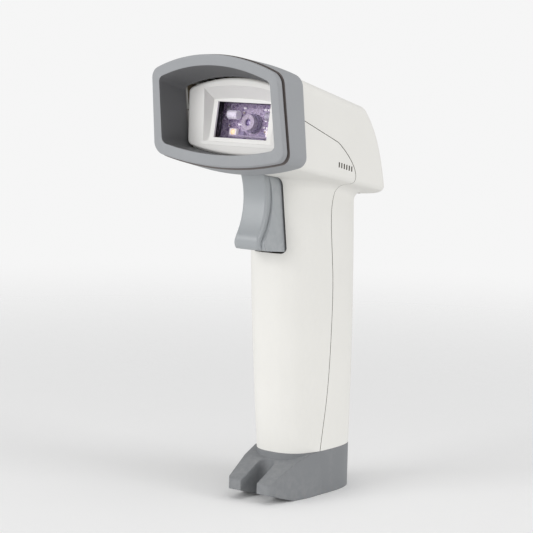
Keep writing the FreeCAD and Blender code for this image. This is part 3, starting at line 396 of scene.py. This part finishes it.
for node, slot, material in (
    ("engine_board", "circuit_board", engine_violet),
    ("image_sensor", "chip", chip_black),
    ("illumination_lamps", "lamp", lamp_package),
    ("engine_bracket", "black_plastic", black_plastic),
    ("engine_socket", "socket_white", socket_cream),
    ("engine_ribbon", "ribbon", ribbon_amber),
):
    dress(node, slot, material)


def plain(kind_tree, name, points, values):
    """The mesh that a geometry node tree grows on loose points, as a plain object."""
    mesh = bpy.data.meshes.new(name + "_points")
    mesh.from_pydata([tuple(point) for point in points], [], [])
    seedling = bpy.data.objects.new(name + "_points", mesh)
    bpy.context.scene.collection.objects.link(seedling)
    modifier = seedling.modifiers.new(name, "NODES")
    modifier.node_group = kind_tree
    inputs = [item for item in kind_tree.interface.items_tree if item.in_out == "INPUT"]
    sockets = {item.name: item.identifier for item in inputs}
    for label, value in values.items():
        modifier[sockets[label]] = value
    graph = bpy.context.evaluated_depsgraph_get()
    grown = bpy.data.meshes.new_from_object(seedling.evaluated_get(graph), depsgraph=graph)
    bpy.data.objects.remove(seedling)
    piece = bpy.data.objects.new(name, grown)
    bpy.context.scene.collection.objects.link(piece)
    return piece


def geometry_tree(name, inputs):
    tree = bpy.data.node_groups.new(name, "GeometryNodeTree")
    tree.interface.new_socket("Geometry", in_out="INPUT", socket_type="NodeSocketGeometry")
    for label, kind, value in inputs:
        socket = tree.interface.new_socket(label, in_out="INPUT", socket_type=kind)
        if value is not None:
            socket.default_value = value
    tree.interface.new_socket("Geometry", in_out="OUTPUT", socket_type="NodeSocketGeometry")
    return tree, tree.nodes.new("NodeGroupInput"), tree.nodes.new("NodeGroupOutput")


AXIS_TILT = math.radians(-10.0)
engine_axis = Matrix.Rotation(AXIS_TILT, 3, "X")
barrel_low, barrel_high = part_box("lens_barrel")
barrel_middle = (barrel_low + barrel_high) / 2
ring_depth = 0.2 * MM


def on_flange(face):
    """0 for the barrel's front ring and tube, painted light mauve as painted light, 1 for the flange round its
    root, painted darker violet as painted shade.
    """
    local = engine_axis.transposed() @ (face.calc_center_median() - barrel_middle)
    return int(local.y > ring_depth)


dress("lens_barrel", "black_plastic", ring_painted_light, flange_painted_shade, pick=on_flange)


# chip parts: a ceramic body between two tinned ends, one per point, sizes varied by a fixed seed
chips, chips_in, chips_out = geometry_tree("chip_parts", [
    ("Length", FLOAT, 1.0 * MM), ("Width", FLOAT, 0.5 * MM), ("Height", FLOAT, 0.4 * MM),
    ("Seed", "NodeSocketInt", 7), ("Body", "NodeSocketMaterial", None), ("Ends", "NodeSocketMaterial", None),
    ("Turn", VECTOR, (0.0, 0.0, 0.0)),
])
links = chips.links
halfway = add(chips, "ShaderNodeMath", operation="MULTIPLY")
halfway.inputs[1].default_value = 0.40
links.new(chips_in.outputs["Length"], halfway.inputs[0])
joined = chips.nodes.new("GeometryNodeJoinGeometry")
for share, offset, label in ((0.56, 0.0, "Body"), (0.22, -1.0, "Ends"), (0.22, 1.0, "Ends")):
    block = chips.nodes.new("GeometryNodeMeshCube")
    length = add(chips, "ShaderNodeMath", operation="MULTIPLY")
    length.inputs[1].default_value = share
    links.new(chips_in.outputs["Length"], length.inputs[0])
    size = chips.nodes.new("ShaderNodeCombineXYZ")
    links.new(length.outputs[0], size.inputs[0])
    links.new(chips_in.outputs["Width"], size.inputs[1])
    links.new(chips_in.outputs["Height"], size.inputs[2])
    links.new(size.outputs[0], block.inputs["Size"])
    shift = add(chips, "ShaderNodeMath", operation="MULTIPLY")
    shift.inputs[1].default_value = offset
    links.new(halfway.outputs[0], shift.inputs[0])
    where = chips.nodes.new("ShaderNodeCombineXYZ")
    links.new(shift.outputs[0], where.inputs[0])
    moved = chips.nodes.new("GeometryNodeTransform")
    links.new(block.outputs["Mesh"], moved.inputs["Geometry"])
    links.new(where.outputs[0], moved.inputs["Translation"])
    painted = chips.nodes.new("GeometryNodeSetMaterial")
    links.new(moved.outputs[0], painted.inputs["Geometry"])
    links.new(chips_in.outputs[label], painted.inputs["Material"])
    links.new(painted.outputs[0], joined.inputs[0])
varied = add(chips, "FunctionNodeRandomValue", data_type="FLOAT_VECTOR")
varied.inputs["Min"].default_value = (0.75, 0.75, 0.8)
varied.inputs["Max"].default_value = (1.25, 1.3, 1.0)
links.new(chips_in.outputs["Seed"], varied.inputs["Seed"])
spread = chips.nodes.new("GeometryNodeInstanceOnPoints")
links.new(chips_in.outputs["Geometry"], spread.inputs["Points"])
links.new(joined.outputs[0], spread.inputs["Instance"])
links.new(varied.outputs[0], spread.inputs["Scale"])
links.new(chips_in.outputs["Turn"], spread.inputs["Rotation"])
real = chips.nodes.new("GeometryNodeRealizeInstances")
links.new(spread.outputs[0], real.inputs[0])
links.new(real.outputs[0], chips_out.inputs[0])

engine_low, engine_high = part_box("engine_board")
engine_place = Matrix.Translation((engine_low + engine_high) / 2) @ Matrix.Rotation(AXIS_TILT, 4, "X")
engine_front = -0.72 * MM
ceramic_white = finish("chip_ceramic_white", (0.78, 0.74, 0.72), rough=0.4, grain=900.0, dust=0.0)
ceramic_brown = finish("chip_ceramic_brown", (0.30, 0.20, 0.13), rough=0.45, grain=900.0, dust=0.0)


def lathe(name, profile, material, segments=40, hollow=False):
    """A closed turned piece along X from (x, radius) pairs in millimetres; hollow leaves it a ring."""
    vertices = [(profile[0][0] * MM, 0, 0)]
    for x, radius in profile:
        for step in range(segments):
            turn = 2 * math.pi * step / segments
            vertices.append((x * MM, radius * MM * math.cos(turn), radius * MM * math.sin(turn)))
    vertices.append((profile[-1][0] * MM, 0, 0))
    ring = [[1 + row * segments + step for step in range(segments)] for row in range(len(profile))]
    faces = []
    for first, second in zip(ring, ring[1:] + ring[:1] * hollow):
        for step in range(segments):
            after = (step + 1) % segments
            faces.append((first[step], first[after], second[after], second[step]))
    last = len(vertices) - 1
    if not hollow:
        for step in range(segments):
            after = (step + 1) % segments
            faces += [(0, ring[0][after], ring[0][step]), (last, ring[-1][step], ring[-1][after])]
    mesh = bpy.data.meshes.new(name)
    mesh.from_pydata(vertices, [], faces)
    mesh.materials.append(material)
    form = bmesh.new()
    form.from_mesh(mesh)
    bmesh.ops.delete(form, geom=[vertex for vertex in form.verts if not vertex.link_faces], context="VERTS")
    bmesh.ops.recalc_face_normals(form, faces=form.faces)
    form.to_mesh(mesh)
    form.free()
    piece = bpy.data.objects.new(name, mesh)
    bpy.context.scene.collection.objects.link(piece)
    return piece


def set_on_engine(piece, x, back, up, turn=None):
    """Put a piece drawn at the origin on the engine, at millimetres from the board's middle."""
    placing = engine_place @ Matrix.Translation((x * MM, back * MM, up * MM))
    piece.data.transform(placing @ turn if turn else placing)
    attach(piece, frame["nodes"]["engine_board"]["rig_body"])
    return piece


# the aimer: a banded white light guide lying across the board, and its grey twin on the other side
banded = [(-2.3, 1.25), (-2.1, 1.6), (-1.1, 1.6), (-1.05, 1.48), (-0.85, 1.48), (-0.8, 1.6), (0.2, 1.6),
          (0.25, 1.48), (0.45, 1.48), (0.5, 1.6), (1.5, 1.6), (1.55, 1.3), (1.8, 1.3), (1.85, 1.7), (2.3, 1.7)]
aimer_guide = lathe("aimer_guide", banded, aimer_white)
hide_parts("aimer", "aimer_lens")
set_on_engine(aimer_guide, -8.3, -2.4, 1.8)
coil_grey = finish("coil_grey", (0.45, 0.43, 0.47), rough=0.4, dust=0.0)
set_on_engine(lathe("focus_coil", banded, coil_grey), 8.8, -2.4, 1.8)

# lens dome, lamp domes, the two half-round bosses and the ledge along the board's lower edge
along_axis = Matrix.Rotation(math.pi / 2, 4, "Z")
lens_dome = lathe("imaging_lens_dome", [(0.0, 0.25), (0.05, 0.7), (0.2, 1.25), (0.5, 1.8), (0.8, 2.1),
                                        (1.4, 2.1)], lens_glass)
for polygon in lens_dome.data.polygons:
    polygon.use_smooth = True
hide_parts("imaging_lens")
set_on_engine(lens_dome, 0, -3.9, -0.9, along_axis)
# the lens stop ring carries the same light mauve painted light
stop_ring = lathe("lens_stop", [(0.0, 1.35), (0.35, 1.25), (0.35, 2.19), (0.0, 2.19)], ring_painted_light, hollow=True)
set_on_engine(stop_ring, 0, -4.45, -0.9, along_axis)
dome = [(-0.30, 0.2), (-0.27, 0.6), (-0.16, 0.95), (0.0, 1.1), (0.3, 1.1)]
for number, x in enumerate((-8.2, 8.2)):
    lamp_dome = lathe(f"lamp_dome_{number}", dome, lamp_resin)
    set_on_engine(lamp_dome, x, -1.75, -4.3, along_axis)
boss_lilac = finish("boss_lilac", (0.24, 0.20, 0.33), rough=0.4, dust=0.0)
boss = [(-0.8, 0.9), (-0.65, 1.35), (-0.5, 1.5), (0.6, 1.5)]
for number, x in enumerate((-4.4, 4.7)):
    set_on_engine(lathe(f"board_boss_{number}", boss, boss_lilac), x, -0.7, -5.3, along_axis)
ledge_mauve = finish("ledge_mauve", (0.44, 0.38, 0.48), rough=0.4, dust=0.0)
ledge = lathe("board_ledge", [(-10.0, 0.30), (-9.8, 0.42), (11.8, 0.42), (12.0, 0.30)], ledge_mauve,
              segments=12)
set_on_engine(ledge, 0, -1.6, -5.75)
rows = {
    "front_resistors": ([(-4.6, 4.6), (-3.9, -2.4), (-4.7, 1.2), (4.6, 4.4), (6.2, 4.4), (8.4, 4.5),
                         (4.8, -2.0), (6.4, -2.2), (8.2, -1.4), (10.2, -1.2), (-6.2, -1.4)],
                        0.0, ceramic_white, 3),
    "front_capacitors": ([(5.3, 2.6), (5.3, 0.8), (-4.9, 2.9), (-4.4, -0.6), (5.6, -3.6), (-10.9, -1.9)],
                         math.pi / 2, ceramic_brown, 5),
}
for name, (spots, turn, body_material, seed) in rows.items():
    points = [(x * MM, engine_front, y * MM) for x, y in spots]
    piece = plain(chips, name, points, {
        "Length": 1.1 * MM, "Width": 0.42 * MM, "Height": 0.65 * MM, "Seed": seed, "Body": body_material,
        "Ends": tinned, "Turn": (0.0, turn, 0.0),
    })
    piece.data.transform(engine_place)
    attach(piece, frame["nodes"]["engine_board"]["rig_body"])

# ---------------------------------------------------------------- decoder board
# Main board under the top shell: decoder chip in a tinned can, radio antenna, status lamp and light pipe.
# It is screwed to four posts in the rear shell; a film ribbon joins it to the scan engine.

board_violet = finish("main_board_mask", (0.10, 0.06, 0.16), rough=0.35, grain=1400.0, coat=0.4, dust=0.0)
antenna_glaze = finish("antenna_glaze", (0.75, 0.75, 0.72), rough=0.2, coat=0.6)
light_pipe = finish("light_pipe", (0.80, 0.84, 0.87), rough=0.18, grain=700.0, wear=0.05, coat=0.6)
for node, slot, material in (
    ("main_board", "circuit_board", board_violet),
    ("shield_can", "tin_plate", tinned),
    ("decoder_chip", "chip", chip_black),
    ("ribbon_socket", "socket_white", socket_cream),
    ("radio_antenna", "antenna_ceramic", antenna_glaze),
    ("status_lamp", "lamp", lamp_resin),
    ("status_light_pipe", "clear_plastic", light_pipe),
    ("beeper", "black_plastic", black_plastic),
    ("beeper_pins", "tin_plate", tinned),
):
    dress(node, slot, material)
main_low, main_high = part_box("main_board")
main_place = Matrix.Translation((main_low + main_high) / 2) @ Matrix.Rotation(AXIS_TILT, 4, "X")
main_top = 0.78 * MM
spots = [(x, y) for x in (-13.0, -11.4, 11.0, 12.6) for y in (-6.0, -3.5, -1.0, 4.6, 7.0)]
spots += [(x, 8.5) for x in (-8.0, -6.0, -4.0, -2.0, 0.0)]
piece = plain(chips, "main_board_parts", [(x * MM, y * MM, main_top) for x, y in spots], {
    "Length": 1.2 * MM, "Width": 0.6 * MM, "Height": 0.4 * MM, "Seed": 21, "Body": ceramic_brown,
    "Ends": tinned, "Turn": (0.0, 0.0, math.pi / 2),
})
piece.data.transform(main_place)
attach(piece, frame["nodes"]["main_board"]["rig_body"])

# ---------------------------------------------------------------- trigger and its works
# Grey satin lever on a ground steel pin, pushed out by a coil spring and pressing a small switch.
# Lever, bracket and switch body are mouldings; the bracket is trapped by the long housing screw.

trigger_grey = finish("trigger_satin", (0.36, 0.38, 0.395), rough=0.34, grain=3600.0, depth=0.012, drift=0.08,
                      wear=0.3, worn=(0.48, 0.49, 0.50), dust=0.04, soft_edge=0.5)
ground_steel = finish("ground_steel", (0.60, 0.60, 0.61), rough=0.25, metallic=1.0, grain=600.0, wear=0.2)
spring_steel = finish("spring_steel", (0.50, 0.50, 0.50), rough=0.3, metallic=1.0, grain=600.0, wear=0.2)
plunger_red = finish("plunger_red", (0.60, 0.10, 0.10), rough=0.4)
lead_red = finish("lead_insulation", (0.45, 0.06, 0.05), rough=0.45, grain=500.0)
for node, slot, material in (
    ("trigger", "trigger_grey", trigger_grey),
    ("trigger_pin", "pin_steel", ground_steel),
    ("trigger_bracket", "black_plastic", black_plastic),
    ("trigger_board", "circuit_board", board_violet),
    ("trigger_switch", "black_plastic", black_plastic),
    ("switch_plunger", "plunger_plastic", plunger_red),
    ("switch_leads", "lead_insulation", lead_red),
):
    dress(node, slot, material)
spring = dress("trigger_spring", "spring_steel", spring_steel)
spring_low, spring_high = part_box("trigger_spring")
spring_seat = (spring_low + spring_high) / 2
spring_seat.y = spring_high.y
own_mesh(spring)

# ---------------------------------------------------------------- battery
# One round lithium cell in a moulded cradle with a spring plate at each end, leads up to the main board.
# The cell has a plain heat-shrink sleeve; everything leans with the handle.

cell_sleeve = finish("cell_sleeve", (0.05, 0.16, 0.30), rough=0.3, grain=500.0, drift=0.1, coat=0.4)
for node, slot, material in (
    ("battery_cell", "cell_wrap", cell_sleeve),
    ("battery_cradle", "black_plastic", black_plastic),
    ("battery_contacts", "tin_plate", tinned),
    ("battery_leads", "lead_insulation", lead_red),
):
    dress(node, slot, material)

# ---------------------------------------------------------------- foot
# Grey rubber boot over the handle's end with a slotted toe; two screws from below, two charging pins.
# The toe's slot drops over a rib in a charging stand, and the flat underside lets the scanner stand alone.

foot_rubber = finish("foot_rubber", (0.205, 0.213, 0.223), rough=0.52, grain=2200.0, depth=0.03, drift=0.08,
                     wear=0.25, worn=(0.30, 0.305, 0.31), dust=0.08, soft_edge=0.7)
contact_gilt = finish("contact_gilt", (0.83, 0.62, 0.25), rough=0.22, metallic=1.0, grain=700.0, wear=0.3)
dress("foot", "foot_rubber", foot_rubber)
dress("charging_contacts", "contact_brass", contact_gilt)

# ---------------------------------------------------------------- screws
# Zinc-plated pan-head screws with a cross recess: two in the foot, one long one through the neck,
# four for the main board and two for the scan engine.

screw_zinc = finish("screw_zinc", (0.45, 0.45, 0.46), rough=0.32, metallic=1.0, grain=900.0, wear=0.3)
screws, screws_in, screws_out = geometry_tree("cross_screws", [
    ("Head Radius", FLOAT, 2.0 * MM), ("Head Height", FLOAT, 1.2 * MM), ("Shank Radius", FLOAT, 0.98 * MM),
    ("Length", FLOAT, 8.0 * MM), ("Turn", VECTOR, (0.0, 0.0, 0.0)), ("Material", "NodeSocketMaterial", None),
])
links = screws.links


def screw_math(operation, first, second):
    node = add(screws, "ShaderNodeMath", operation=operation)
    for index, value in enumerate((first, second)):
        if isinstance(value, float):
            node.inputs[index].default_value = value
        else:
            links.new(value, node.inputs[index])
    return node.outputs[0]


def screw_part(kind, height, **sockets):
    """A mesh primitive of the screw, moved up its axis to a height."""
    node = screws.nodes.new(kind)
    for label, value in sockets.items():
        label = label.replace("_", " ")
        if isinstance(value, int):
            node.inputs[label].default_value = value
        else:
            links.new(value, node.inputs[label])
    where = screws.nodes.new("ShaderNodeCombineXYZ")
    links.new(height, where.inputs[2])
    moved = screws.nodes.new("GeometryNodeTransform")
    links.new(node.outputs["Mesh"], moved.inputs["Geometry"])
    links.new(where.outputs[0], moved.inputs["Translation"])
    return moved.outputs[0]


def screw_size(x, y, z):
    node = screws.nodes.new("ShaderNodeCombineXYZ")
    for index, value in enumerate((x, y, z)):
        links.new(value, node.inputs[index])
    return node.outputs[0]


head_radius, head_height = screws_in.outputs["Head Radius"], screws_in.outputs["Head Height"]
head = screw_part("GeometryNodeMeshCylinder", screw_math("MULTIPLY", head_height, 0.5), Vertices=40,
                  Radius=head_radius, Depth=head_height)
bar, slot_width = screw_math("MULTIPLY", head_radius, 1.25), screw_math("MULTIPLY", head_radius, 0.26)
across = screw_part("GeometryNodeMeshCube", head_height, Size=screw_size(bar, slot_width, head_height))
along = screw_part("GeometryNodeMeshCube", head_height, Size=screw_size(slot_width, bar, head_height))
crossed = add(screws, "GeometryNodeMeshBoolean", operation="DIFFERENCE")
links.new(head, crossed.inputs[0])
links.new(across, crossed.inputs[1])
links.new(along, crossed.inputs[1])
shank_length = screw_math("SUBTRACT", screws_in.outputs["Length"], head_height)
shank = screw_part("GeometryNodeMeshCylinder", screw_math("MULTIPLY", shank_length, -0.5), Vertices=24,
                   Radius=screws_in.outputs["Shank Radius"], Depth=shank_length)
whole = screws.nodes.new("GeometryNodeJoinGeometry")
links.new(crossed.outputs[0], whole.inputs[0])
links.new(shank, whole.inputs[0])
spread = screws.nodes.new("GeometryNodeInstanceOnPoints")
links.new(screws_in.outputs["Geometry"], spread.inputs["Points"])
links.new(whole.outputs[0], spread.inputs["Instance"])
links.new(screws_in.outputs["Turn"], spread.inputs["Rotation"])
real = screws.nodes.new("GeometryNodeRealizeInstances")
links.new(spread.outputs[0], real.inputs[0])
zinc = screws.nodes.new("GeometryNodeSetMaterial")
links.new(real.outputs[0], zinc.inputs["Geometry"])
links.new(screws_in.outputs["Material"], zinc.inputs["Material"])
links.new(zinc.outputs[0], screws_out.inputs[0])

foot_low, foot_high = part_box("foot_screws")
house_low, house_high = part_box("housing_screw")
house_z = (house_low.z + house_high.z) / 2
engine_screw_place = engine_place @ Matrix.Translation((0, 3.3 * MM, 4.3 * MM))
board_screw_place = main_place @ Matrix.Translation((0, 0, -0.6 * MM))
flat = Matrix.Identity(4)
# node, head radius, head height, shank radius, whole length, turn, points under the heads, placement
sets = [
    ("foot_screws", 2.0, 1.2, 0.98, 9.5, (math.pi, 0, 0),
     [(0, foot_low.y + 2.0 * MM, foot_low.z + 1.2 * MM),
      (0, foot_high.y - 2.0 * MM, foot_low.z + 1.2 * MM)], flat),
    ("housing_screw", 2.1, 1.6, 0.98, 23.0, (-math.pi / 2, 0, 0), [(0, house_high.y - 1.6 * MM, house_z)], flat),
    ("board_screws", 1.9, 1.2, 0.98, 7.1, (math.pi, 0, 0),
     [(x * MM, y * MM, 0) for x in (-12.5, 12.5) for y in (-12, 12)], board_screw_place),
    ("engine_screws", 1.5, 1.0, 0.88, 4.8, (-math.pi / 2, 0, 0), [(-12.5 * MM, 0, 0), (12.5 * MM, 0, 0)],
     engine_screw_place),
]
for node, radius, height, shank_radius, length, turn, points, placing in sets:
    piece = plain(screws, node + "_crossed", points, {
        "Head Radius": radius * MM, "Head Height": height * MM, "Shank Radius": shank_radius * MM,
        "Length": length * MM, "Turn": turn, "Material": screw_zinc,
    })
    piece.data.transform(placing)
    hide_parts(node)
    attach(piece, frame["nodes"][node]["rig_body"])

# ---------------------------------------------------------------- studio
# Pale floor that fades out into an even white surround.
# A large soft key lamp stands in front, a weaker one hangs above and a third stands at the side.

floor_mesh = bpy.data.meshes.new("floor")
reach = 0.8
floor_mesh.from_pydata([(-reach, -reach, 0), (reach, -reach, 0), (reach, reach, 0), (-reach, reach, 0)], [],
                       [(0, 1, 2, 3)])
floor_paper = finish("floor_paper", (0.90, 0.90, 0.90), rough=0.85, grain=60.0, drift=0.01, wear=0.0, dust=0.0)
tree = floor_paper.node_tree
spread_out = add(tree, "ShaderNodeVectorMath", operation="LENGTH")
tree.links.new(tree.nodes["Texture Coordinate"].outputs["Object"], spread_out.inputs[0])
fade = ranged(tree, spread_out.outputs["Value"], 0.10, 0.75, 1.0, 0.0)
fade.interpolation_type = "SMOOTHSTEP"
tree.links.new(fade.outputs[0], tree.nodes["Principled BSDF"].inputs["Alpha"])
floor_mesh.materials.append(floor_paper)
floor = bpy.data.objects.new("floor", floor_mesh)
bpy.context.scene.collection.objects.link(floor)

world = bpy.data.worlds.new("surround")
bpy.context.scene.world = world
world.use_nodes = True
tree = world.node_tree
tree.nodes.clear()
output = add(tree, "ShaderNodeOutputWorld")
lighting = add(tree, "ShaderNodeBackground", Strength=0.56)
lighting.inputs["Color"].default_value = (1.0, 1.0, 1.0, 1.0)
seen = add(tree, "ShaderNodeBackground", Strength=0.92)
seen.inputs["Color"].default_value = (1.0, 1.0, 1.0, 1.0)
rays = add(tree, "ShaderNodeLightPath")
blend = add(tree, "ShaderNodeMixShader")
tree.links.new(rays.outputs["Is Camera Ray"], blend.inputs[0])
tree.links.new(lighting.outputs[0], blend.inputs[1])
tree.links.new(seen.outputs[0], blend.inputs[2])
tree.links.new(blend.outputs[0], output.inputs["Surface"])

middle = Vector((0, -0.02, 0.09))
for name, spot, across, power in (
    ("key", Vector((-0.45, -1.2, 0.42)), 0.8, 8.6),
    ("top", Vector((0.35, -0.2, 1.3)), 0.7, 2.6),
    ("side", Vector((1.15, 0.22, 0.40)), 0.6, 4.6),
):
    lamp = bpy.data.lights.new(name, "AREA")
    lamp.shape = "SQUARE"
    lamp.size = across
    lamp.energy = power
    holder = bpy.data.objects.new(name, lamp)
    holder.location = spot
    holder.rotation_euler = (middle - spot).to_track_quat("-Z", "Y").to_euler()
    bpy.context.scene.collection.objects.link(holder)

# ---------------------------------------------------------------- camera
# A long lens in front of the scan side, turned towards +X and a little above the head.
# Its columns are the camera's right, up and backward directions, then where it stands.

eye = bpy.data.cameras.new("camera")
eye.lens = 129.3
eye.sensor_width = 36.0
camera = bpy.data.objects.new("camera", eye)
camera.matrix_world = Matrix((
    (0.8034, -0.0943, 0.5878, 0.4141),
    (0.5946, 0.0770, -0.8003, -0.5903),
    (0.0302, 0.9925, 0.1179, 0.1704),
    (0.0, 0.0, 0.0, 1.0),
))
bpy.context.scene.collection.objects.link(camera)
bpy.context.scene.camera = camera
bpy.context.scene.view_settings.view_transform = "Standard"
